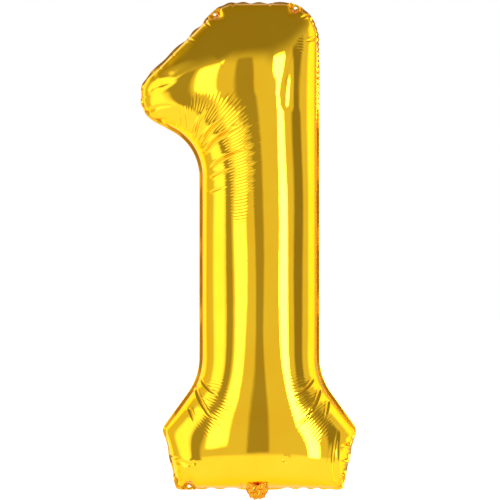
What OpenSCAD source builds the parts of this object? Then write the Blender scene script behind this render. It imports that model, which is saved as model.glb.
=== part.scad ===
// Foil number balloon, numeral 1, inflated and sealed.
// Two die-cut film panels are welded face to face round their edge. A flat
// two-film valve passes through the bottom edge into a filling neck.
// Drawing frame: X across the front, Y from front to back, Z up from the
// bottom cut edge. The finished part is moved so that its origin is the
// centre of the top left hanging hole.

/* [Outline] */
// Height from cut edge to cut edge
height = 860; // [820:5:920]
// Width of the upright stem over its cut edges
stem_w = 212; // [200:2:224]
// Width over the two points of the foot
foot_w = 344; // [330:2:360]
// Width of the bottom edge
foot_base_w = 294; // [280:2:310]
// Height of the foot's points above the bottom edge
foot_point_z = 108; // [95:1:120]
// Height at which the stem starts to flare into the foot
flare_z = 199; // [175:1:215]
// Reach of the arm's nose to the left of the stem's centre line
arm_reach = 210; // [195:1:220]
// Height at which the underside of the arm meets the stem
arm_root_z = 606; // [590:1:620]
// Height of the arm's nose, lower corner
nose_low_z = 661; // [655:1:668]
// Height of the arm's nose, upper corner
nose_high_z = 718; // [712:1:726]
// Distance of the top left shoulder from the stem's centre line
shoulder_x = 65; // [58:1:72]

/* [Film] */
// Thickness drawn for one film, thicker than the real 0.035 so that it is a sound solid
film_t = 0.4; // [0.3:0.05:0.6]
// Width of the welded edge outside the weld line
weld_w = 5; // [4:0.5:7]
// Largest half depth of the inflated body
bulge = 132; // [100:1:140]

/* [Hanging eyelets] */
// Radius of the welded land that dips into the body round each hole
land_r = 11; // [10:0.5:12]
// Radius of the punched hole
hole_r = 2.5; // [1.5:0.25:3]
// Distance of the hole's centre inside the weld line
hole_inset = 2; // [1.5:0.25:3]

/* [Valve] */
// Width of the two valve films
valve_w = 26; // [20:1:30]
// Length of the valve above the bottom cut edge
valve_l = 115; // [90:5:140]

/* [Filling neck] */
// Width of the neck
neck_w = 38; // [34:1:42]
// Distance of the neck's centre to the left of the stem's centre line
neck_x = 4; // [0:1:20]
// Radius in which the neck curls forward
neck_r = 30; // [28:1:34]
// Length of the flat end of the neck
neck_flat_l = 22; // [20:1:24]
// Radius of the inlet hole in the back film of the neck
inlet_r = 4; // [3:0.25:5]

/* [Hidden] */

gold = [0.95, 0.75, 0.1];
clear_film = [0.9, 0.92, 0.95, 0.6];
valve_t = 0.2;               // one valve film
weld_overlap = 1;            // how far the fused edge reaches under the panels' edge
land_edge = 2;               // distance of a land's straight edge inside the cut edge
dip_reach = 36;              // how far into the body the film bends round a land
fit_gap = 0.1;               // clearance beside the valve
hinge_z = -1;                // the neck folds on this line, just below the cut edge
neck_root_z = -1.3;
neck_start = -45;            // heading of the neck at its root, below the horizontal
neck_end = 50;               // heading of the neck at its flat end, above the horizontal
neck_seam_w = 4;             // welded strip along each side of the neck
stem_x = stem_w / 2;
blend_power = 6;             // sharpness of the blend between the cross-wise and upright bulge
blend_step = 14;             // spacing of the places over which the upright bulge is averaged
arc_steps = 10;
$fn = 64;

// Corners of the cut outline, anticlockwise from the bottom left: [x, z, radius]
corners = [
    [-foot_base_w / 2, 0, 8],
    [foot_base_w / 2, 0, 8],
    [foot_w / 2, foot_point_z, 14],
    [stem_x, flare_z, 110],
    [stem_x, height, 68],
    [-shoulder_x, height, 60],
    [-arm_reach, nose_high_z, 45],
    [-arm_reach, nose_low_z, 48],
    [-stem_x, arm_root_z, 90],
    [-stem_x, flare_z, 110],
    [-foot_w / 2, foot_point_z, 14]
];

// Eyelets: [x, z, direction of the outward normal], with x and z on the weld line
eyelet_top_left_at = [-80, height - 22, 132];
eyelet_top_right_at = [stem_x - 42.4, height - 10.4, 66];
eyelet_bottom_left_at = [-124, weld_w, 270];
eyelets = [eyelet_top_left_at, eyelet_top_right_at, eyelet_bottom_left_at];

function unit(v) = v / norm(v);
function flat_point(c) = [c[0], c[1]];

// Points of one rounded corner, moved inwards by inset
function corner_arc(before, here, after, inset) =
    let (
        a = unit(flat_point(before) - flat_point(here)),
        b = unit(flat_point(after) - flat_point(here)),
        half = acos(a * b) / 2,
        turn = sign(a[1] * b[0] - a[0] * b[1]),
        centre = flat_point(here) + unit(a + b) * here[2] / sin(half),
        first = flat_point(here) + a * here[2] / tan(half) - centre,
        start = atan2(first[1], first[0]),
        r = here[2] - turn * inset
    )
    [for (k = [0:arc_steps])
        let (angle = start + turn * (180 - 2 * half) * k / arc_steps)
        centre + r * [cos(angle), sin(angle)]];

// The outline, moved inwards by inset
function outline(inset) =
    let (n = len(corners))
    [for (i = [0:n - 1]) each corner_arc(corners[(i + n - 1) % n], corners[i], corners[(i + 1) % n], inset)];

// Where an outline crosses the line on which coordinate axis has the value v
function crossings(points, axis, v) =
    let (n = len(points), other = 1 - axis)
    [for (i = [0:n - 1])
        let (p = points[i], q = points[(i + 1) % n])
        if ((p[axis] < v) != (q[axis] < v))
            p[other] + (q[other] - p[other]) * (v - p[axis]) / (q[axis] - p[axis])];

// Half depth of a round bulge of at most cap, at the distances a and b from its two edges
function round_bulge(a, b, cap) =
    let (chord = min(a + b, 2 * cap), d = min(a, b))
    d <= 0 ? 0 : d >= chord / 2 ? chord / 2 : sqrt(d * (chord - d));

// The same in the upright direction through [x, z], or 0 outside the outline
function upright_bulge(edge, x, z, cap) =
    let (
        zs = crossings(edge, 0, x),
        under = [for (v = zs) if (v <= z) v],
        over = [for (v = zs) if (v > z) v]
    )
    len(under) % 2 == 0 || len(over) == 0 ? 0 : round_bulge(z - max(under), min(over) - z, cap);

function mean(list) = list * [for (v = list) 1] / len(list);

// Both bulges together. The upright one is averaged from side to side, so that inner corners stay smooth
function depth_at(edge, x, z, left, right, cap) =
    let (
        across = round_bulge(x - left, right - x, cap),
        upright = mean([for (k = [-3:3])
            upright_bulge(edge, min(max(x + k * blend_step, left + 1), right - 1), z, cap)])
    )
    min(across, upright) < 0.001 ? 0
    : pow(pow(across, -blend_power) + pow(upright, -blend_power), -1 / blend_power);

// Rows are close together near the bottom and top edges, and columns near the sides
bottom_rows = 9;
middle_rows = 30;
top_rows = 15;
rows = bottom_rows + middle_rows + top_rows;
columns = 32;
bottom_band = 60;
top_band = 62;
function row_height(i, low, high) =
    i <= bottom_rows ? low + bottom_band * (1 - cos(90 * i / bottom_rows))
    : i <= bottom_rows + middle_rows
    ? low + bottom_band + (high - top_band - low - bottom_band) * (i - bottom_rows) / middle_rows
    : high - top_band * (1 - cos(90 * (rows - i) / top_rows));
function column_share(j) = 0.5 - 0.5 * cos(180 * j / columns);

// How far a point at [x, z] moves to clear the lands
function dip_shift(e, x, z) =
    let (
        inward = [-cos(e[2]), -sin(e[2])],
        from = [x - e[0], z - e[1]],
        along = from[0] * inward[1] - from[1] * inward[0],
        depth = min(max(from * inward, 0), dip_reach),
        dip_r = land_r - weld_overlap
    )
    abs(along) >= dip_r || depth >= dip_reach ? [0, 0]
    : inward * sqrt(dip_r * dip_r - along * along) * (1 + cos(180 * depth / dip_reach)) / 2;
function dipped(x, depth, z) =
    let (shift = dip_shift(eyelets[0], x, z) + dip_shift(eyelets[1], x, z) + dip_shift(eyelets[2], x, z))
    [x + shift[0], -film_t - depth, z + shift[1]];

// Skin of the front half, inset from the cut outline, as rows of points
function skin(inset, cap) =
    let (
        edge = outline(inset),
        low = inset,
        hair = 0.02,
        high = max([for (p = edge) p[1]]) - hair
    )
    [for (i = [0:rows])
        let (
            z = row_height(i, low, high),
            xs = crossings(edge, 1, min(max(z, low + hair), high - hair)),
            left = min(xs),
            right = max(xs)
        )
        for (j = [0:columns])
            let (
                x = left + (right - left) * column_share(j),
                on_edge = i == 0 || i == rows || j == 0 || j == columns
            )
            dipped(x, on_edge ? 0 : depth_at(edge, x, z, left, right, cap), z)];

// One film of the body: the front one, standing on the front face of the sealed rim
module panel() {
    outer = skin(weld_w, bulge);
    inner = skin(weld_w + film_t, bulge - film_t);
    w = columns + 1;
    count = len(outer);
    rim = [
        for (j = [0:columns - 1]) j,
        for (i = [0:rows - 1]) i * w + columns,
        for (j = [columns:-1:1]) rows * w + j,
        for (i = [rows:-1:1]) i * w
    ];
    faces = [
        for (i = [0:rows - 1], j = [0:columns - 1])
            let (a = i * w + j)
            each [[a, a + 1, a + w], [a + 1, a + w + 1, a + w],
                  [a + count, a + w + count, a + 1 + count], [a + 1 + count, a + w + count, a + w + 1 + count]],
        for (k = [0:len(rim) - 1])
            let (a = rim[k], b = rim[(k + 1) % len(rim)])
            each [[a, b + count, b], [a, a + count, b + count]]
    ];
    polyhedron(concat(outer, inner), faces);
}

module front_panel() {
    color(gold) panel();
}

module back_panel() {
    color(gold) mirror([0, 1, 0]) panel();
}

// Flat passage of the valve through the bottom edge
module valve_passage() {
    translate([-neck_x, 0, weld_w])
        cube([valve_w + 2 * fit_gap, 2 * valve_t, 4 * weld_w], center = true);
}

// A plate of both films, in the plane of the seam
module seam_plate() {
    rotate([90, 0, 0])
        linear_extrude(2 * film_t, center = true)
            children();
}

// Outline of one welded land, half round on its inner side
module land(e) {
    intersection() {
        translate([e[0], e[1]]) circle(r = land_r);
        polygon(outline(land_edge));
    }
}

module sealed_rim() {
    color(gold)
        difference() {
            seam_plate() difference() {
                polygon(outline(0));
                polygon(outline(weld_w + weld_overlap));
                for (e = eyelets) land(e);
            }
            valve_passage();
        }
}

// One land with its punched hole
module eyelet(e) {
    color(gold)
        difference() {
            seam_plate() land(e);
            translate([e[0] - hole_inset * cos(e[2]), 0, e[1] - hole_inset * sin(e[2])])
                rotate([90, 0, 0])
                    cylinder(r = hole_r, h = 8 * film_t, center = true);
        }
}

module eyelet_top_left() { eyelet(eyelet_top_left_at); }
module eyelet_top_right() { eyelet(eyelet_top_right_at); }
module eyelet_bottom_left() { eyelet(eyelet_bottom_left_at); }

// One valve film. side is -1 for the front film and 1 for the back one
module valve_film(side) {
    color(clear_film)
        translate([-neck_x, side * valve_t / 2, (valve_l + 0.5) / 2])
            cube([valve_w, valve_t, valve_l - 0.5], center = true);
}

module valve_film_front() { valve_film(-1); }
module valve_film_back() { valve_film(1); }

// Centre line of the neck as [y, z], curled forward and then flat, moved to its lower side by out
function neck_line(out) =
    let (
        centre = [-neck_r * cos(90 + neck_start), neck_root_z + neck_r * sin(90 + neck_start)],
        bend_end = [-sin(neck_end), -cos(neck_end)]
    )
    [
        for (k = [0:2 * arc_steps])
            let (angle = neck_start + (neck_end - neck_start) * k / (2 * arc_steps))
            centre + (neck_r + out) * [-sin(angle), -cos(angle)],
        centre + (neck_r + out) * bend_end + neck_flat_l * [-cos(neck_end), sin(neck_end)]
    ];

function reversed(list) = [for (i = [len(list) - 1:-1:0]) list[i]];

// A strip along the neck between two offsets from its centre line, w wide
module neck_strip(from, to, w) {
    rotate([90, 0, 90])
        linear_extrude(w, center = true)
            polygon(concat(neck_line(from), reversed(neck_line(to))));
}

// One neck film with the welded strips along its sides. side is -1 for the upper, front film
module neck_film(side) {
    inner = side * valve_t;
    outer = side * (valve_t + film_t);
    translate([-neck_x, 0, 0]) {
        neck_strip(min(inner, outer), max(inner, outer), neck_w);
        for (s = [-1, 1])
            translate([s * (neck_w - neck_seam_w) / 2, 0, 0])
                neck_strip(min(0, outer), max(0, outer), neck_seam_w);
    }
}

module neck_film_front() {
    color(gold) neck_film(-1);
}

// The inlet hole goes through the back film, in the middle of the flat end
module neck_film_back() {
    path = neck_line(0);
    end = path[len(path) - 1];
    middle = end - neck_flat_l / 2 * [-cos(neck_end), sin(neck_end)];
    color(gold)
        difference() {
            neck_film(1);
            translate([-neck_x, middle[0], middle[1]])
                rotate([-neck_end, 0, 0])
                    translate([0, 0, -1])
                        cylinder(r = inlet_r, h = 2, center = true);
        }
}

// The origin is the centre of the top left hanging hole
hole_at = [eyelet_top_left_at[0] - hole_inset * cos(eyelet_top_left_at[2]), 0,
           eyelet_top_left_at[1] - hole_inset * sin(eyelet_top_left_at[2])];
module placed() {
    translate(-hole_at) children();
}

placed() front_panel();
placed() back_panel();
placed() sealed_rim();
placed() eyelet_top_left();
placed() eyelet_top_right();
placed() eyelet_bottom_left();
placed() valve_film_front();
placed() valve_film_back();
placed() neck_film_front();
placed() neck_film_back();
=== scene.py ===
# Foil number balloon, numeral 1: gold film skins, welded rim, hanging eyelets, filling neck.
import math

import bpy
import numpy as np
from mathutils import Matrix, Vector


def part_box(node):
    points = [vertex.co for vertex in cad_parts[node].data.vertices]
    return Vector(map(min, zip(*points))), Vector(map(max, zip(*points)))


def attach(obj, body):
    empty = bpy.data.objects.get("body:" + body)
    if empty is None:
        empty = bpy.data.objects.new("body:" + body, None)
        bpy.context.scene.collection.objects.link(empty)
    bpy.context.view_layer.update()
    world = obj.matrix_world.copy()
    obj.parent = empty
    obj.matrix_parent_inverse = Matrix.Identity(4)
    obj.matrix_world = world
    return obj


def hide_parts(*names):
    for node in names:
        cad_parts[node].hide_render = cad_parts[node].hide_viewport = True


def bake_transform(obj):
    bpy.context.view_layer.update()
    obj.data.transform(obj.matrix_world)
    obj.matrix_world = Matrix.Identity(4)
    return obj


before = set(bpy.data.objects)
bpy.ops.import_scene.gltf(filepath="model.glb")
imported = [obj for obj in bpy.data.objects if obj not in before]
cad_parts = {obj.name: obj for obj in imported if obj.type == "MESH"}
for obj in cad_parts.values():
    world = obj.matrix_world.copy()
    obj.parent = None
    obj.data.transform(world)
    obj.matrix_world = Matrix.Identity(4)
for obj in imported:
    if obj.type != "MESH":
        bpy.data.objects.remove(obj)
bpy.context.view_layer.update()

MM = 0.001

# ---------------------------------------------------------------- where things are
# Drawing coordinates are millimetres: x from the stem's centre line, z up from the bottom cut edge.
NECK_CENTRE_X = -4.0
valve_low, valve_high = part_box("valve_film_front")
rim_low, rim_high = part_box("sealed_rim")
STEM_X = (valve_low[0] + valve_high[0]) / 2 - NECK_CENTRE_X * MM
BASE_Z = rim_low[2]
HEIGHT = (rim_high[2] - rim_low[2]) / MM


def to_frame(points):
    """Drawing millimetres to metres in the shared frame."""
    points = np.asarray(points, float) * MM
    return points + np.array([STEM_X, 0.0, BASE_Z])


# Corners of the cut outline, anticlockwise from the bottom left: x, z, radius
CUT_OUTLINE = [
    (-147, 0, 8), (147, 0, 8), (172, 108, 14), (106, 199, 110), (106, HEIGHT, 68), (-65, HEIGHT, 60),
    (-210, 718, 45), (-210, 661, 48), (-106, 606, 90), (-106, 199, 110), (-172, 108, 14),
]
# Where the film's grid has its four corners
GRID_CORNERS = [(-146, 3), (146, 3), (88, 845), (-205, 722)]
WELD_WIDTH = 5.0
HALF_WELD = 0.16     # half the thickness of the welded strip and lands
# Welded lands: x, z on the weld line, and the direction of the outward normal in degrees
LANDS = {"top_left": (-80, 838, 132), "top_right": (63.6, 849.6, 66), "bottom_left": (-124, 5, 270)}
LAND_HALF_WIDTH = 15.0
LAND_DEPTH = 8.0
LAND_REACH = 34.0    # how far into the film the dip round a land fades out
HOLE_INSET = 2.0
HOLE_RADIUS = 2.5
DEEPEST = 116.0      # half depth of the head, at most
ROUND_UP_TO = 98.0   # half depth up to which the film's section stays a free round bulge


# ---------------------------------------------------------------- outline and grid
def rounded(corners, steps=14):
    points = []
    count = len(corners)
    for i in range(count):
        before, here, after = (np.array(corners[k % count][:2], float) for k in (i - 1, i, i + 1))
        radius = corners[i][2]
        a = (before - here) / np.linalg.norm(before - here)
        b = (after - here) / np.linalg.norm(after - here)
        half = math.acos(np.clip(a @ b, -1, 1)) / 2
        turn = np.sign(a[1] * b[0] - a[0] * b[1])
        centre = here + (a + b) / np.linalg.norm(a + b) * radius / math.sin(half)
        first = here + a * radius / math.tan(half) - centre
        start = math.atan2(first[1], first[0])
        for k in range(steps + 1):
            angle = start + turn * (math.pi - 2 * half) * k / steps
            points.append(centre + radius * np.array([math.cos(angle), math.sin(angle)]))
    return np.array(points)


def closed_at_spacing(points, spacing):
    loop = np.vstack([points, points[:1]])
    length = np.r_[0, np.cumsum(np.linalg.norm(np.diff(loop, axis=0), axis=1))]
    at = np.linspace(0, length[-1], int(length[-1] / spacing), endpoint=False)
    return np.stack([np.interp(at, length, loop[:, k]) for k in (0, 1)], 1)


def outward(loop):
    along = np.roll(loop, -2, 0) - np.roll(loop, 2, 0)
    along /= np.linalg.norm(along, axis=1, keepdims=True)
    return np.stack([along[:, 1], -along[:, 0]], 1)


def softened(values, passes):
    for _ in range(passes):
        values = 0.25 * np.roll(values, 1, 0) + 0.5 * values + 0.25 * np.roll(values, -1, 0)
    return values


def cut_to(curve, count):
    length = np.r_[0, np.cumsum(np.linalg.norm(np.diff(curve, axis=0), axis=1))]
    at = np.linspace(0, length[-1], count + 1)
    return np.stack([np.interp(at, length, curve[:, k]) for k in (0, 1)], 1)


def relax(field, grid, source=None, passes=400):
    """Smooths a field over the grid: the grid's own points, or the bulge over them."""
    for _ in range(passes):
        across = (grid[1:-1, 2:] - grid[1:-1, :-2]) / 2
        upward = (grid[2:, 1:-1] - grid[:-2, 1:-1]) / 2
        a = (upward**2).sum(-1, keepdims=True)
        c = (across**2).sum(-1, keepdims=True)
        b = (across * upward).sum(-1, keepdims=True)
        twist = (field[2:, 2:] - field[2:, :-2] - field[:-2, 2:] + field[:-2, :-2]) / 4
        new = a * (field[1:-1, 2:] + field[1:-1, :-2]) + c * (field[2:, 1:-1] + field[:-2, 1:-1]) - 2 * b * twist
        if source is not None:
            new = new + source * (a * c - b * b)
        field[1:-1, 1:-1] += 0.95 * (new / (2 * (a + c) + 1e-9) - field[1:-1, 1:-1])
    return field


def cubic(values, at):
    """Smooth reading of values, spaced evenly from 0 to 1 along the first axis."""
    ends = np.concatenate([2 * values[:1] - values[1:2], values, 2 * values[-1:] - values[-2:-1]])
    place = np.clip(at, 0, 1) * (len(values) - 1)
    k = np.minimum(place.astype(int), len(values) - 2)
    t = (place - k).reshape((-1,) + (1,) * (values.ndim - 1))
    p0, p1, p2, p3 = ends[k], ends[k + 1], ends[k + 2], ends[k + 3]
    return 0.5 * (2 * p1 + (p2 - p0) * t + (2 * p0 - 5 * p1 + 4 * p2 - p3) * t**2 + (3 * p1 - p0 - 3 * p2 + p3) * t**3)


def read_grid(values, rows_at, columns_at):
    by_rows = cubic(values, rows_at)
    return np.swapaxes(cubic(np.swapaxes(by_rows, 0, 1), columns_at), 0, 1)


def weld_line():
    loop = closed_at_spacing(rounded(CUT_OUTLINE), 0.8)
    return loop - WELD_WIDTH * outward(loop)


def film_plan():
    """Plan of one film inside the weld line, and the square of its half depth."""
    loop = weld_line()
    at = [int(np.argmin(((loop - np.array(c)) ** 2).sum(1))) for c in GRID_CORNERS]
    sides = []
    for start, end in zip(at, at[1:] + at[:1]):
        sides.append(loop[start:end + 1] if end > start else np.vstack([loop[start:], loop[:end + 1]]))
    plan, bulge = None, None
    for rows, columns, passes in ((36, 12, 900), (72, 24, 900), (144, 48, 700)):
        bottom, right = cut_to(sides[0], columns), cut_to(sides[1], rows)
        top, left = cut_to(sides[2], columns)[::-1], cut_to(sides[3], rows)[::-1]
        v = np.linspace(0, 1, rows + 1)
        u = np.linspace(0, 1, columns + 1)
        if plan is None:
            uu, vv = u[None, :, None], v[:, None, None]
            plan = ((1 - vv) * bottom[None] + vv * top[None] + (1 - uu) * left[:, None] + uu * right[:, None]
                    - (1 - uu) * (1 - vv) * bottom[0] - uu * (1 - vv) * bottom[-1]
                    - (1 - uu) * vv * top[0] - uu * vv * top[-1])
            bulge = np.zeros(plan.shape[:2] + (1,))
        else:
            plan, bulge = read_grid(plan, v, u), read_grid(bulge, v, u)
        plan[0], plan[-1], plan[:, 0], plan[:, -1] = bottom, top, left, right
        bulge[0] = bulge[-1] = bulge[:, 0] = bulge[:, -1] = 0
        plan = relax(plan, plan, passes=passes // 2)
        bulge = relax(bulge, plan, source=2.0, passes=passes)
    return plan, bulge


ROWS = 740
COLUMNS = 190
# Parts of the grid's height and width where the film buckles finely and its lines lie closer:
# middle, half width, how much closer
CLOSE_ROWS = [(0.20, 0.11, 1.8), (0.74, 0.19, 1.7)]
CLOSE_COLUMNS = [(0.385, 0.075, 2.4)]
# Fuller parts of the body: height in mm, half height, extra depth
FULLER = [(40, 50, 0.20), (770, 70, 0.05)]


def lines_at(count, closer_at, crowding):
    """Where the grid's lines lie from 0 to 1: closer in the buckled parts and at both ends."""
    fine = np.linspace(0, 1, 4001)
    density = np.ones_like(fine)
    for middle, half, closer in closer_at:
        density += closer * np.exp(-(((fine - middle) / half) ** 4))
    density += crowding / np.sqrt(np.maximum(np.minimum(fine, 1 - fine), 0.0012))
    total = np.r_[0, np.cumsum((density[1:] + density[:-1]) / 2)]
    return np.interp(np.linspace(0, total[-1], count + 1), total, fine)


def film_surface():
    """The inflated front film before its creases: points in drawing millimetres, rows by columns."""
    plan, bulge = film_plan()
    rows_at = lines_at(ROWS, CLOSE_ROWS, 0.22)
    columns_at = lines_at(COLUMNS, CLOSE_COLUMNS, 0.55)
    flat = read_grid(plan, rows_at, columns_at)
    depth = np.sqrt(np.maximum(read_grid(bulge, rows_at, columns_at)[..., 0], 0))
    for middle, half, extra in FULLER:
        depth = depth * (1 + extra * np.exp(-(((flat[..., 1] - middle) / half) ** 2)))
    room_left = DEEPEST - ROUND_UP_TO
    over = np.maximum(depth - ROUND_UP_TO, 0)
    depth = np.minimum(depth, ROUND_UP_TO) + room_left * np.tanh(over / room_left)
    depth[0] = depth[-1] = depth[:, 0] = depth[:, -1] = 0
    return np.stack([flat[..., 0], -depth, flat[..., 1]], -1)


# ---------------------------------------------------------------- creases and puckers
# Fans of fine ripples on the inside of each bend, where the film has too much length. Each row is a
# station along the fan: x, z, direction of the crests in degrees, half length of the crests, height in mm
RIPPLE_FANS = [
    [(-134, 664, 100, 7, 0.0), (-118, 668, 92, 13, 0.26), (-104, 672, 80, 18, 0.36), (-84, 666, 64, 22, 0.40),
     (-63, 658, 48, 26, 0.42), (-46, 637, 38, 26, 0.42), (-38, 612, 30, 25, 0.42), (-34, 580, 23, 24, 0.42),
     (-32, 548, 17, 22, 0.40), (-33, 513, 13, 19, 0.34), (-33, 484, 10, 15, 0.22), (-33, 466, 8, 12, 0.0)],
    [(-78, 218, -4, 12, 0.0), (-78, 200, -8, 15, 0.24), (-73, 170, -18, 20, 0.34), (-80, 142, -31, 21, 0.34),
     (-92, 121, -42, 16, 0.24), (-104, 110, -48, 11, 0.0)],
    [(62, 222, 4, 9, 0.0), (64, 206, 7, 12, 0.32), (73, 180, 16, 18, 0.40), (86, 152, 30, 22, 0.42),
     (105, 118, 41, 22, 0.38), (121, 98, 47, 15, 0.0)],
    [(72, 794, 2, 5, 0.0), (72, 784, 2, 6, 0.30), (72, 768, 2, 6, 0.30), (72, 758, 2, 5, 0.0)],
    [(146, 80, 2, 5, 0.0), (146, 66, 1, 6, 0.26), (142, 26, 0, 6, 0.26), (141, 14, 0, 5, 0.0)],
]
RIPPLE_LENGTH = 5.2   # mm from crest to crest; it is drawn a little coarser than the film buckles
FAN_REACH = 75.0      # mm from a fan's stations beyond which it has died out

# Single folds: x, z at each end, depth, half width and bow in mm. A negative depth is a ridge.
FOLDS = [
    # the long creases that fan out from the inside of the arm's bend
    (-139, 638, -138, 660, 1.8, 2.0, 0), (-128, 635, -129, 672, 2.2, 2.0, 1), (-112, 620, -88, 668, 2.9, 2.2, 3),
    (-98, 612, -55, 654, 2.9, 2.2, 3), (-92, 597, -27, 640, 2.8, 2.2, 4), (-80, 569, -16, 596, 2.6, 2.1, 4),
    (-84, 548, -40, 563, 1.7, 2.0, 2), (-86, 522, -50, 532, 1.3, 2.0, 1),
    # the foot's bends
    (-101, 196, -69, 172, 2.3, 2.1, -3), (-110, 178, -70, 126, 2.7, 2.2, -5), (-121, 146, -111, 122, 2.0, 2.1, 0),
    (91, 197, 53, 169, 2.2, 2.1, 3), (103, 176, 62, 118, 2.7, 2.2, 5), (119, 158, 111, 130, 2.1, 2.2, 1),
    # puckers that run in from the weld
    (19, 858, 18, 836, 2.3, 2.2, 0), (-46, 858, -52, 830, 2.5, 2.3, 0), (-100, 828, -82, 804, 2.7, 2.3, 0),
    (-133, 796, -110, 782, 2.6, 2.4, 0), (-158, 770, -146, 758, 1.3, 2.2, 0), (-182, 746, -170, 736, 1.4, 2.3, 0),
    (86, 836, 68, 823, 2.6, 2.3, 0), (104, 792, 77, 783, 2.8, 2.4, 0), (-207, 690, -190, 689, 1.4, 2.3, 0),
    (-96, 4, -96, 26, 1.9, 2.2, 0), (-31, 4, -31, 28, 2.4, 2.3, 0), (10.4, 4, 10.4, 26, 2.4, 2.3, 0),
    (63.5, 4, 63.5, 22, 1.9, 2.2, 0), (108, 4, 107, 18, 1.9, 2.2, 0), (122, 20, 142, 4, 1.9, 2.4, 0),
    (-168, 60, -139, 62, 2.9, 2.6, 0), (-160, 28, -142, 30, 1.8, 2.4, 0),
    # folds of the foot's right edge, with the film swelling between them
    (171, 84, 140, 84, 6.0, 3.4, 0), (165, 55, 137, 56, 6.0, 3.4, 0), (159, 29, 135, 31, 5.2, 3.2, 0),
    (176, 99, 148, 98, -2.2, 8.0, 0), (172, 69, 146, 70, -3.2, 8.0, 0), (166, 42, 143, 43, -3.0, 7.6, 0),
    # soft folds: the arm's tip, the shoulder and the foot's corners
    (-196, 664, -150, 670, 1.9, 3.4, 4), (-192, 652, -152, 655, 2.0, 3.2, -4), (-180, 642, -150, 646, -1.4, 3.4, 0),
    (-190, 702, -140, 712, 1.3, 7.0, 3), (-176, 726, -110, 752, -1.2, 9.0, 4), (-160, 748, -90, 788, 1.0, 9.0, 5),
    (-70, 760, -10, 812, 0.9, 9.0, 6),
    (18, 690, 26, 770, -0.6, 10.0, 3), (44, 670, 58, 760, 1.0, 9.0, 3),
    (-148, 16, -112, 66, 1.9, 5.0, -6), (-136, 56, -98, 30, 1.3, 4.4, 5), (-122, 48, -98, 46, -1.1, 4.0, 3),
    (132, 24, 136, 112, 2.6, 4.5, 4), (40, 66, 58, 52, 1.7, 4.0, 0),
    (-20, 403, 18, 403, 0.12, 1.6, 0),
]


def fold_height(x, z, ends, depth, half_width, bow):
    """A creased valley along a line, tapering out at its far end."""
    start, end = np.array(ends[:2]), np.array(ends[2:])
    length = np.linalg.norm(end - start)
    ahead = (end - start) / length
    along = ((x - start[0]) * ahead[0] + (z - start[1]) * ahead[1]) / length
    across = (z - start[1]) * ahead[0] - (x - start[0]) * ahead[1]
    across = across - bow * (1 - (2 * along - 1) ** 2)
    across = np.abs(across) / (half_width * (1 - 0.45 * np.clip(along, 0, 1)))
    taper = np.clip(along / 0.12 + 1, 0, 1) * np.clip((1 - along) / 0.55, 0, 1) ** 1.2
    valley = -np.exp(-1.5 * across**1.25) + 0.38 * np.exp(-(((across - 1.9) / 0.9) ** 2))
    return depth * valley * taper


def ripple_height(x, z, seed):
    """Washboard ripples: the crests turn gradually from station to station, and end raggedly."""
    local = np.random.default_rng(seed)
    total = np.zeros_like(x)
    for fan in RIPPLE_FANS:
        stations = np.array(fan, float)
        shares = np.linspace(0, 1, 40 * len(fan))
        px, pz, turn, half_length, height = cubic(stations, shares).T
        turn = np.radians(turn)
        crest = np.stack([np.cos(turn), np.sin(turn)])
        onward = np.stack([-crest[1], crest[0]])
        steps = np.diff(np.stack([px, pz]), axis=1)
        travel = np.r_[0, np.cumsum((steps * (onward[:, 1:] + onward[:, :-1]) / 2).sum(0))]
        rows, columns = np.nonzero((np.abs(x - px.mean()) < np.ptp(px) / 2 + FAN_REACH)
                                   & (np.abs(z - pz.mean()) < np.ptp(pz) / 2 + FAN_REACH))
        phase = local.uniform(0, 2 * math.pi)
        for part in np.array_split(np.arange(len(rows)), 1 + len(rows) // 8000):
            i, j = rows[part], columns[part]
            from_x, from_z = x[i, j][:, None] - px, z[i, j][:, None] - pz
            across = from_x * onward[0] + from_z * onward[1]
            along = from_x * crest[0] + from_z * crest[1]
            nearest = np.argmin(np.abs(across) + 0.02 * np.abs(along), axis=1)
            pick = np.arange(len(part)), nearest
            here, beside = across[pick], along[pick]
            way = travel[nearest] + here
            drift = 0.5 * np.sin(beside / 9 + phase) + 0.9 * np.sin(way / 23 + phase)
            turns = 2 * math.pi * (way + drift) / RIPPLE_LENGTH
            wave = np.cos(turns) - 0.22 * np.cos(2 * turns)
            ragged = 1 + 0.24 * np.sin(way * 0.47 + phase) + 0.14 * np.sin(way * 1.21 + 3 * phase)
            strength = 0.8 + 0.2 * np.sin(way * 0.21 + 2 * phase)
            edge = np.exp(-((beside / (half_length[nearest] * ragged)) ** 4) - (here / 4.0) ** 2)
            total[i, j] += np.maximum(height[nearest], 0) * strength * wave * edge
    return total


def land_dip(x, z):
    """How far the film draws back round the welded lands."""
    shift_x, shift_z = np.zeros_like(x), np.zeros_like(z)
    for land_x, land_z, direction in LANDS.values():
        inward = np.array([-math.cos(math.radians(direction)), -math.sin(math.radians(direction))])
        from_x, from_z = x - land_x, z - land_z
        along = from_x * inward[1] - from_z * inward[0]
        depth = np.clip(from_x * inward[0] + from_z * inward[1], 0, LAND_REACH)
        near = (np.abs(along) < LAND_HALF_WIDTH) & (depth < LAND_REACH) & (np.hypot(from_x, from_z) < 60)
        reach = LAND_DEPTH * np.cos(math.pi / 2 * along / LAND_HALF_WIDTH) ** 2
        reach = np.where(near, reach * (1 + np.cos(np.pi * depth / LAND_REACH)) / 2, 0)
        shift_x += inward[0] * reach
        shift_z += inward[1] * reach
    return shift_x, shift_z


def surface_normals(grid):
    across = np.gradient(grid, axis=1)
    upward = np.gradient(grid, axis=0)
    normal = np.cross(across, upward)
    return normal / np.maximum(np.linalg.norm(normal, axis=-1, keepdims=True), 1e-9)


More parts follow.
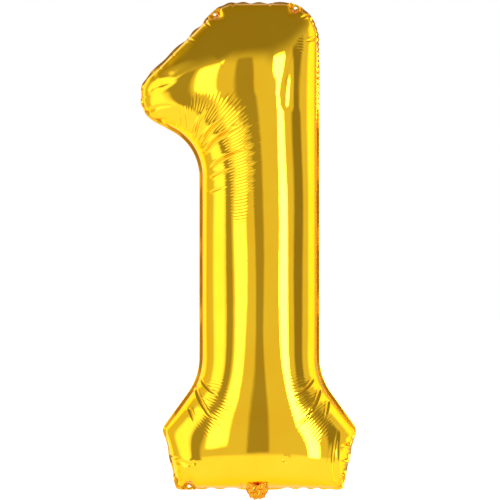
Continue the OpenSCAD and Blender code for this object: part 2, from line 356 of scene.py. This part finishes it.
def edge_direction(points):
    """Outward direction in the seam's plane for a run of edge points."""
    along = np.gradient(points, axis=0)
    out = np.stack([along[:, 2], np.zeros(len(points)), -along[:, 0]], 1)
    return out / np.maximum(np.linalg.norm(out, axis=1, keepdims=True), 1e-9)


def crease(points, side, seed):
    """Adds folds, ripples and dips, and the unevenness of film that has lain folded in its packet."""
    normal = surface_normals(points)
    if side > 0:
        normal = -normal
    normal[:, -1], normal[:, 0] = edge_direction(points[:, -1]), -edge_direction(points[:, 0])
    normal[0], normal[-1] = edge_direction(points[0]), -edge_direction(points[-1])
    x, y, z = points[..., 0], np.abs(points[..., 1]), points[..., 2]
    inner = np.clip(y / 45, 0, 1)
    move = ripple_height(x, z, seed) * np.clip(y / 12, 0, 1)
    for line in FOLDS:
        # near the weld the film turns away from the front, and the fold follows it round
        move += fold_height(x, z, line[:4], *line[4:])
    # the stem is drawn straight along its length, so its unevenness is long and narrow there
    move += inner * (0.5 * slow_noise(x, z * 0.45, 130, seed + 1) + 0.10 * slow_noise(x, z * 0.1, 36, seed + 2))
    grid = points + normal * move[..., None]
    dip_x, dip_z = land_dip(x, z)
    grid[..., 0] += dip_x
    grid[..., 2] += dip_z
    return grid


def slow_noise(x, z, scale, seed, waves=9):
    """A gentle unevenness made of a few long waves, between about -1 and 1."""
    local = np.random.default_rng(seed)
    total = np.zeros_like(x)
    for _ in range(waves):
        angle = local.uniform(0, 2 * math.pi)
        length = scale * local.uniform(0.7, 1.6)
        total += np.sin(2 * math.pi * (x * math.cos(angle) + z * math.sin(angle)) / length + local.uniform(0, 6.28))
    return total / math.sqrt(waves)


# ---------------------------------------------------------------- materials
def linear(code):
    """sRGB hex colour to linear RGBA."""
    parts = [int(code[k:k + 2], 16) / 255 for k in (1, 3, 5)]
    return tuple(p / 12.92 if p <= 0.04045 else ((p + 0.055) / 1.055) ** 2.4 for p in parts) + (1.0,)


def add(tree, kind, links=None, **settings):
    """Adds one node. Settings name its properties, or its inputs by name or place; links feed its inputs."""
    node = tree.nodes.new(kind)
    for name, value in settings.items():
        if name == "inputs":
            for key, number in value.items():
                node.inputs[key].default_value = number
        else:
            setattr(node, name, value)
    for key, source in (links or {}).items():
        tree.links.new(source, node.inputs[key])
    return node


def ramp(node, stops):
    elements = node.color_ramp.elements
    while len(elements) > 1:
        elements.remove(elements[-1])
    elements[0].position, elements[0].color = stops[0][0], stops[0][1]
    for place, colour in stops[1:]:
        elements.new(place).color = colour


def maths(tree, operation, first, second):
    node = add(tree, "ShaderNodeMath", operation=operation)
    for k, value in enumerate((first, second)):
        if isinstance(value, (int, float)):
            node.inputs[k].default_value = value
        else:
            tree.links.new(value, node.inputs[k])
    return node.outputs[0]


def gold_film(name, light="#FFCF2C", deep="#FFC926", roughness=0.03, crinkle=0.012):
    """Metallised nylon film with a gold lacquer: a mirror that turns everything it reflects gold."""
    material = bpy.data.materials.new(name)
    material.use_nodes = True
    tree = material.node_tree
    tree.nodes.clear()
    place = add(tree, "ShaderNodeTexCoord")
    # lacquer is a touch deeper in some places than others, over about 60 mm
    cloud = add(tree, "ShaderNodeTexNoise", {"Vector": place.outputs["Object"]},
                inputs={"Scale": 16.0, "Detail": 2.0})
    tone = add(tree, "ShaderNodeValToRGB", {"Fac": cloud.outputs["Fac"]})
    ramp(tone, [(0.3, linear(deep)), (0.7, linear(light))])
    # faint crinkle left by the packet's folds, about 25 mm across
    packet = add(tree, "ShaderNodeTexNoise", {"Vector": place.outputs["Object"]},
                 inputs={"Scale": 38.0, "Detail": 1.0, "Roughness": 0.4})
    height = maths(tree, "MULTIPLY", packet.outputs["Fac"], crinkle * MM * 10)
    bump = add(tree, "ShaderNodeBump", {"Height": height}, inputs={"Strength": 1.0, "Distance": 1.0})
    # rolled film has a very fine haze, uneven over a few millimetres
    haze = add(tree, "ShaderNodeTexNoise", {"Vector": place.outputs["Object"]},
               inputs={"Scale": 150.0, "Detail": 2.0})
    gloss = add(tree, "ShaderNodeMapRange", {0: haze.outputs["Fac"]},
                inputs={3: roughness * 0.8, 4: roughness * 1.25})
    shader = add(tree, "ShaderNodeBsdfPrincipled",
                 {"Base Color": tone.outputs["Color"], "Roughness": gloss.outputs[0],
                  "Normal": bump.outputs["Normal"]},
                 inputs={"Metallic": 1.0, "Specular Tint": linear("#FFD9A6"), "Coat Weight": 0.05,
                         "Coat Roughness": 0.03})
    add(tree, "ShaderNodeOutputMaterial", {"Surface": shader.outputs[0]})
    return material


def valve_film_material():
    """Clear polyethylene film, blown and slit: limp, nearly invisible, with a soft sheen."""
    material = bpy.data.materials.new("clear_polyethylene_valve")
    material.use_nodes = True
    tree = material.node_tree
    tree.nodes.clear()
    place = add(tree, "ShaderNodeTexCoord")
    streaks = add(tree, "ShaderNodeTexNoise", {"Vector": place.outputs["Object"]},
                  inputs={"Scale": 300.0, "Detail": 2.0})
    bump = add(tree, "ShaderNodeBump", {"Height": streaks.outputs["Fac"]},
               inputs={"Strength": 0.3, "Distance": 0.0002})
    shader = add(tree, "ShaderNodeBsdfPrincipled", {"Normal": bump.outputs["Normal"]},
                 inputs={"Base Color": linear("#E9EDF2"), "Roughness": 0.18, "IOR": 1.51, "Alpha": 0.4})
    add(tree, "ShaderNodeOutputMaterial", {"Surface": shader.outputs[0]})
    return material


# ---------------------------------------------------------------- pieces
def make_mesh(name, points, faces, material, smooth=True):
    mesh = bpy.data.meshes.new(name)
    mesh.from_pydata(to_frame(points).tolist(), [], [tuple(int(k) for k in f) for f in faces])
    mesh.materials.append(material)
    if smooth:
        mesh.shade_smooth()
    mesh.update()
    piece = bpy.data.objects.new(name, mesh)
    bpy.context.scene.collection.objects.link(piece)
    return piece


def grid_faces(rows, columns, flip=False):
    k = np.arange(rows - 1)[:, None] * columns + np.arange(columns - 1)[None]
    k = k.ravel()
    faces = np.stack([k, k + 1, k + columns + 1, k + columns], 1)
    return faces[:, ::-1] if flip else faces


def seam_loop(grid):
    """The film's edge points, anticlockwise seen from the front."""
    return np.concatenate([grid[0, :-1], grid[:-1, -1], grid[-1, :0:-1], grid[:0:-1, 0]])


# How far the flange leans back out of the film's plane, by place on the edge: x, z, reach, degrees
FLANGE_LEANS = [(0, 860, 110, 48), (-120, 800, 90, 52), (-205, 700, 60, 42), (100, 790, 80, 38), (100, 700, 60, 22),
                (-60, 0, 60, 62), (70, 0, 60, 62), (-160, 60, 50, 50), (160, 60, 45, 40)]
RUFFLE_LENGTH = 33.0   # mm
FINE_RUFFLE = 9.0      # mm, down the right of the head
NECK_HOLD = 26         # half width of the part at the neck where the strip lies flat
SEAM_OVERLAP = 0.8     # how far the strip starts inside the films' edge
ABOUT_HOLE = 7         # half width over a land where the strip starts beyond the hole
PAST_HOLE = 1.2        # distance outside the weld line at which it starts there


def rim_piece(seam, plain_seam, material):
    """The welded edge: both films fused into one flat strip, ruffled where the film has shrunk in."""
    flat = softened(plain_seam[:, [0, 2]], 6)
    out = softened(outward(flat), 6)
    out /= np.linalg.norm(out, axis=1, keepdims=True)
    count = len(seam)
    length = np.r_[0, np.cumsum(np.linalg.norm(np.diff(flat, axis=0), axis=1))]
    lean = np.zeros(count)
    for x, z, reach, degrees in FLANGE_LEANS:
        lean = np.maximum(lean, degrees * np.exp(-((np.hypot(flat[:, 0] - x, flat[:, 1] - z) / reach) ** 2)))
    ruffled = lean / 60
    fine = np.exp(-((np.hypot(flat[:, 0] - 100, flat[:, 1] - 730) / 90) ** 2))
    ruffle = np.sin(length * 2 * math.pi / FINE_RUFFLE + 1.5 * np.sin(length / 17.0)) * fine
    ruffle += (1 - fine) * np.sin(length * 2 * math.pi / RUFFLE_LENGTH + 3.4 * np.sin(length / 41.0))
    lean = lean + 24 * ruffled * ruffle + 4 * np.sin(length / 19.0)
    # at the neck the strip is held flat
    held = np.exp(-(((flat[:, 0] - NECK_CENTRE_X) / NECK_HOLD) ** 4)) * (flat[:, 1] < 20)
    lean = np.radians(lean * (1 - held))
    # over a land the strip starts beyond the hole, and the land fills the rest
    rise = ((seam[:, [0, 2]] - flat) * out).sum(1) - SEAM_OVERLAP
    for land_x, land_z, _ in LANDS.values():
        over = np.hypot(flat[:, 0] - land_x, flat[:, 1] - land_z) < ABOUT_HOLE
        rise = np.where(over, PAST_HOLE, rise)
    rise = softened(rise, 2)
    steps = 5
    front, back = [], []
    for k in range(steps + 1):
        share = k / steps
        reach = rise + share * (WELD_WIDTH - rise)
        beyond = np.maximum(reach, 0)
        flap = np.minimum(reach, 0) + beyond * np.cos(lean)
        x, z = flat[:, 0] + out[:, 0] * flap, flat[:, 1] + out[:, 1] * flap
        y = beyond * np.sin(lean)
        front.append(np.stack([x, y - HALF_WELD, z], 1))
        back.append(np.stack([x, y + HALF_WELD, z], 1))
    layers = front + back[::-1]
    faces = []
    here = np.arange(count)
    following = (here + 1) % count
    for k in range(len(layers)):
        a, b = k * count, ((k + 1) % len(layers)) * count
        faces.append(np.stack([a + here, b + here, b + following, a + following], 1))
    return make_mesh("welded_rim", np.concatenate(layers), np.concatenate(faces), material)


def land_piece(name, place, material, tilt):
    """A welded land with its punched hole, filling the niche where the film draws back."""
    land_x, land_z, direction = place
    out = np.array([math.cos(math.radians(direction)), 0, math.sin(math.radians(direction))])
    along = np.array([-out[2], 0, out[0]])
    forward = np.array([0, -1.0, 0])
    around, rings = 72, 8
    half = LAND_HALF_WIDTH - 1
    turn = math.radians(tilt)
    points = []
    for side in (-1, 1):
        for k in range(rings):
            share = k / (rings - 1)
            for j in range(around):
                angle = 2 * math.pi * j / around
                hole = HOLE_RADIUS * np.array([math.cos(angle), math.sin(angle)]) - np.array([0, HOLE_INSET])
                edge_s = half * math.cos(angle)
                if math.sin(angle) < 0:
                    edge_n = -LAND_DEPTH * math.cos(math.pi / 2 * edge_s / LAND_HALF_WIDTH) ** 2 - 0.7
                else:
                    edge_n = 4.4 * min(1, 1.6 * math.sin(angle)) - 0.7 * (1 - math.sin(angle))
                s, n = hole + (np.array([edge_s, edge_n]) - hole) * share
                # the weld has drawn the land into shallow waves, with a lip punched up round the hole
                wave = 0.55 * math.sin(s * 0.5 + 0.8) * share + 0.35 * math.sin(s * 1.1 - n * 0.6) * share
                lift = wave + 0.4 * (1 - share) ** 3
                from_root = n + LAND_DEPTH
                reach = from_root * math.cos(turn) - LAND_DEPTH * math.cos(turn)
                p = np.array([land_x, 0, land_z]) + along * s + out * reach
                points.append(p + forward * ((n + LAND_DEPTH) * math.sin(turn) * 0.6 + lift - side * HALF_WELD))
    layer = rings * around
    faces = []
    for side in (0, 1):
        for k in range(rings - 1):
            for j in range(around):
                a = side * layer + k * around + j
                b = side * layer + k * around + (j + 1) % around
                quad = (a, b, b + around, a + around)
                faces.append(quad if side else quad[::-1])
    for k in (0, rings - 1):
        for j in range(around):
            a, b = k * around + j, k * around + (j + 1) % around
            quad = (a, b, b + layer, a + layer)
            faces.append(quad if k else quad[::-1])
    return make_mesh(name, points, faces, material)


NECK_WIDTH = 38.0
NECK_RADIUS = 30.0   # in which the neck curls forward
NECK_ROOT_Z = -1.3
NECK_START = -45.0   # heading at its root and at its flat end, in degrees above the horizontal
NECK_END = 50.0
NECK_FLAT = 22.0     # length of its flat end
NECK_TAB = 6.0       # length of the neck's root that is welded into the rim
NECK_LENGTH = NECK_TAB + NECK_RADIUS * math.radians(NECK_END - NECK_START) + NECK_FLAT


def neck_path(length):
    """Point and outer normal of the neck's centre line, as y and z, at a distance from the top of its weld."""
    if length < NECK_TAB:
        return np.array([0.0, NECK_ROOT_Z + NECK_TAB - length]), np.array([1.0, 0.0])
    length -= NECK_TAB
    bend_length = NECK_RADIUS * math.radians(NECK_END - NECK_START)
    heading = math.radians(NECK_START) + min(length, bend_length) / NECK_RADIUS
    start = math.radians(NECK_START)
    centre = np.array([NECK_RADIUS * math.sin(start), NECK_ROOT_Z + NECK_RADIUS * math.cos(start)])
    normal = np.array([-math.sin(heading), -math.cos(heading)])
    extra = max(length - bend_length, 0)
    return centre + NECK_RADIUS * normal + extra * np.array([-math.cos(heading), math.sin(heading)]), normal


def zigzag(value):
    """A folded-paper wave between -1 and 1, with a period of 2."""
    return 2 * abs((value % 2) - 1) - 1


def neck_piece(name, side, material):
    """One film of the filling neck, gathered into pleats where it leaves the weld and crumpled beyond."""
    rows, columns = 100, 90
    points = np.zeros((rows, columns, 3))
    for i in range(rows):
        length = NECK_LENGTH * i / (rows - 1)
        (y, z), normal = neck_path(length)
        share = max(length - NECK_TAB, 0) / (NECK_LENGTH - NECK_TAB)
        in_weld = min(max(NECK_TAB - length, 0) / NECK_TAB, 1)
        width = NECK_WIDTH / 2 * (0.98 - 0.34 * math.sin(math.pi * min(share * 1.15, 1)) + 0.04 * zigzag(share * 6))
        for j in range(columns):
            u = 2 * j / (columns - 1) - 1
            s, t = u * width, share * 72
            pleat = 1.5 * math.exp(-share * 2.6) * zigzag(s / 3.1 + 0.25 * math.sin(t / 9))
            crumple = 1.5 * zigzag((s * 0.8 + t * 0.6) / 7.3) + 1.3 * zigzag((s * 0.5 - t * 0.86 + 3) / 6.1)
            crumple += 0.5 * zigzag((s * 0.95 - t * 0.3) / 3.4)
            puff = side * (1.6 * (1 - u * u) * math.sin(math.pi * min(share * 1.1, 1)) + 0.12 + 0.5 * in_weld)
            offset = (pleat + crumple * min(share * 6 + 0.2, 1)) * (1 - u**8) * (1 - 0.9 * in_weld) + puff
            points[i, j] = (NECK_CENTRE_X + s, y + normal[0] * offset, z + normal[1] * offset)
    return make_mesh(name, points.reshape(-1, 3), grid_faces(rows, columns, side > 0), material, smooth=False)


gold = gold_film("metallised_nylon_gold")
gold_weld = gold_film("heat_sealed_gold_edge", "#FBC028", "#F0A820", roughness=0.10, crinkle=0.04)
gold_neck = gold_film("gathered_gold_neck", "#F0AE2C", "#D98A1C", roughness=0.13, crinkle=0.06)
clear = valve_film_material()

surface = film_surface()
front_grid = crease(surface, -1, 11)
back_surface = surface * np.array([1, -1, 1])
back_grid = crease(back_surface, 1, 11)
edge = (front_grid + back_grid) / 2
for grid in (front_grid, back_grid):
    grid[0], grid[-1], grid[:, 0], grid[:, -1] = edge[0], edge[-1], edge[:, 0], edge[:, -1]

front = make_mesh("front_film", front_grid.reshape(-1, 3), grid_faces(ROWS + 1, COLUMNS + 1), gold)
back = make_mesh("back_film", back_grid.reshape(-1, 3), grid_faces(ROWS + 1, COLUMNS + 1, True), gold)
rim = rim_piece(seam_loop(edge), seam_loop(surface), gold_weld)
lands = {
    "top_left": land_piece("land_top_left", LANDS["top_left"], gold_weld, 12),
    "top_right": land_piece("land_top_right", LANDS["top_right"], gold_weld, 12),
    "bottom_left": land_piece("land_bottom_left", LANDS["bottom_left"], gold_weld, 5),
}
neck_front = neck_piece("neck_front", -1, gold_neck)
neck_back = neck_piece("neck_back", 1, gold_neck)

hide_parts("front_panel")
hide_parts("back_panel")
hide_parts("sealed_rim")
for key, piece in lands.items():
    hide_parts("eyelet_" + key)
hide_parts("neck_film_front")
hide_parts("neck_film_back")
for piece in (front, back, rim, *lands.values()):
    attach(piece, "balloon")
# the neck's films are welded into the rim at its root, and turn over the first few millimetres below it; here their
# placing is baked into their points
for piece in (neck_front, neck_back):
    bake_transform(piece)
for node in ("valve_film_front", "valve_film_back"):
    for place in bpy.data.objects[node].material_slots:
        place.material = clear

# ---------------------------------------------------------------- studio
scene = bpy.context.scene
scene.view_settings.view_transform = "Standard"
FLOOR_Z = BASE_Z - 0.05
FLOOR_HALF = 9.0
CAMERA_DISTANCE = 3.2    # metres
VIEW_HEIGHT = 0.880      # metres of the balloon's plane that the frame takes in
SENSOR = 36.0


def lay_floor():
    """A plain white floor under the hanging balloon, open all round so that it can be seen from any side."""
    corners = ((-1, -1), (1, -1), (1, 1), (-1, 1))
    mesh = bpy.data.meshes.new("studio_floor")
    mesh.from_pydata([(x * FLOOR_HALF, y * FLOOR_HALF, FLOOR_Z) for x, y in corners], [], [(0, 1, 2, 3)])
    material = bpy.data.materials.new("painted_white_floor")
    material.use_nodes = True
    tree = material.node_tree
    tree.nodes.clear()
    shader = add(tree, "ShaderNodeBsdfPrincipled",
                 inputs={"Base Color": linear("#FAFAFA"), "Roughness": 0.9,
                         "Emission Color": linear("#FFFFFF"), "Emission Strength": 0.75})
    add(tree, "ShaderNodeOutputMaterial", {"Surface": shader.outputs[0]})
    mesh.materials.append(material)
    floor = bpy.data.objects.new("studio_floor", mesh)
    scene.collection.objects.link(floor)
    # the film mirrors the room's own floor, further down than this sheet
    floor.visible_glossy = False


def grey(level):
    """A light level. What is dark in the studio is also a little warmer."""
    warm = min(level, 1.0)
    return (level, level * (0.86 + 0.14 * warm), level * (0.7 + 0.3 * warm), 1.0)


# A plain studio: an even surround, a dark ceiling, a white floor, and standing softboxes and dark flags
# between them. Each is degrees right of the camera, half width, lowest and highest rise, level.
SURROUND = 0.8
CEILING = 0.3
FLOOR = 1.2
SOFTBOXES = [(-40, 15, -0.1, 0.5, 3.0), (50, 10, -0.4, 0.5, 12.0), (-90, 20, -0.5, 0.5, 1.6),
             (130, 20, -0.5, 0.5, 1.6), (-150, 20, -0.5, 0.5, 1.6)]
FLAGS = [(0, 10, -0.3, 0.5, 0.4), (-65, 10, -0.5, 0.5, 0.4), (85, 15, -0.5, 0.5, 0.3)]


def room():
    world = bpy.data.worlds.new("studio_room")
    world.use_nodes = True
    scene.world = world
    tree = world.node_tree
    tree.nodes.clear()
    place = add(tree, "ShaderNodeTexCoord")
    split = add(tree, "ShaderNodeSeparateXYZ", {0: place.outputs["Generated"]})
    x, y, z = split.outputs
    turn = maths(tree, "MULTIPLY", maths(tree, "ARCTAN2", x, maths(tree, "MULTIPLY", y, -1.0)), 180 / math.pi)

    def fade(value, low, high):
        """0 below low and 1 above high, or the other way about."""
        return add(tree, "ShaderNodeMapRange", {0: value}, interpolation_type="SMOOTHSTEP",
                   inputs={1: low, 2: high}).outputs[0]

    def mix(amount, first, second):
        node = add(tree, "ShaderNodeMix", {"Factor": amount}, data_type="RGBA")
        for k, value in ((6, first), (7, second)):
            if isinstance(value, tuple):
                node.inputs[k].default_value = value
            else:
                tree.links.new(value, node.inputs[k])
        return node.outputs[2]

    walls = mix(fade(z, 0.3, 0.7), grey(SURROUND), grey(CEILING))
    walls = mix(fade(z, -0.25, -0.4), walls, grey(FLOOR))
    for middle, half, lowest, highest, level in FLAGS + SOFTBOXES:
        inside = maths(tree, "MULTIPLY", fade(turn, middle - half, middle - half * 0.5),
                       fade(turn, middle + half, middle + half * 0.5))
        inside = maths(tree, "MULTIPLY", inside, fade(z, lowest, lowest + 0.1))
        inside = maths(tree, "MULTIPLY", inside, fade(z, highest, highest - 0.1))
        walls = mix(inside, walls, grey(level))
    seen = add(tree, "ShaderNodeLightPath")
    shown = mix(seen.outputs["Is Camera Ray"], walls, grey(1.0))
    light = add(tree, "ShaderNodeBackground", {"Color": shown}, inputs={"Strength": 1.0})
    add(tree, "ShaderNodeOutputWorld", {"Surface": light.outputs[0]})


def camera():
    """Level with the middle of the balloon, far enough off to keep the stem's sides parallel."""
    data = bpy.data.cameras.new("camera")
    data.sensor_width = SENSOR
    data.lens = SENSOR * CAMERA_DISTANCE / VIEW_HEIGHT
    holder = bpy.data.objects.new("camera", data)
    scene.collection.objects.link(holder)
    aim = to_frame([-16.7, 0, 422.4])
    holder.location = Vector(aim) + Vector((0, -CAMERA_DISTANCE, 0))
    holder.rotation_euler = (math.pi / 2, 0, 0)
    scene.camera = holder


lay_floor()
room()
camera()
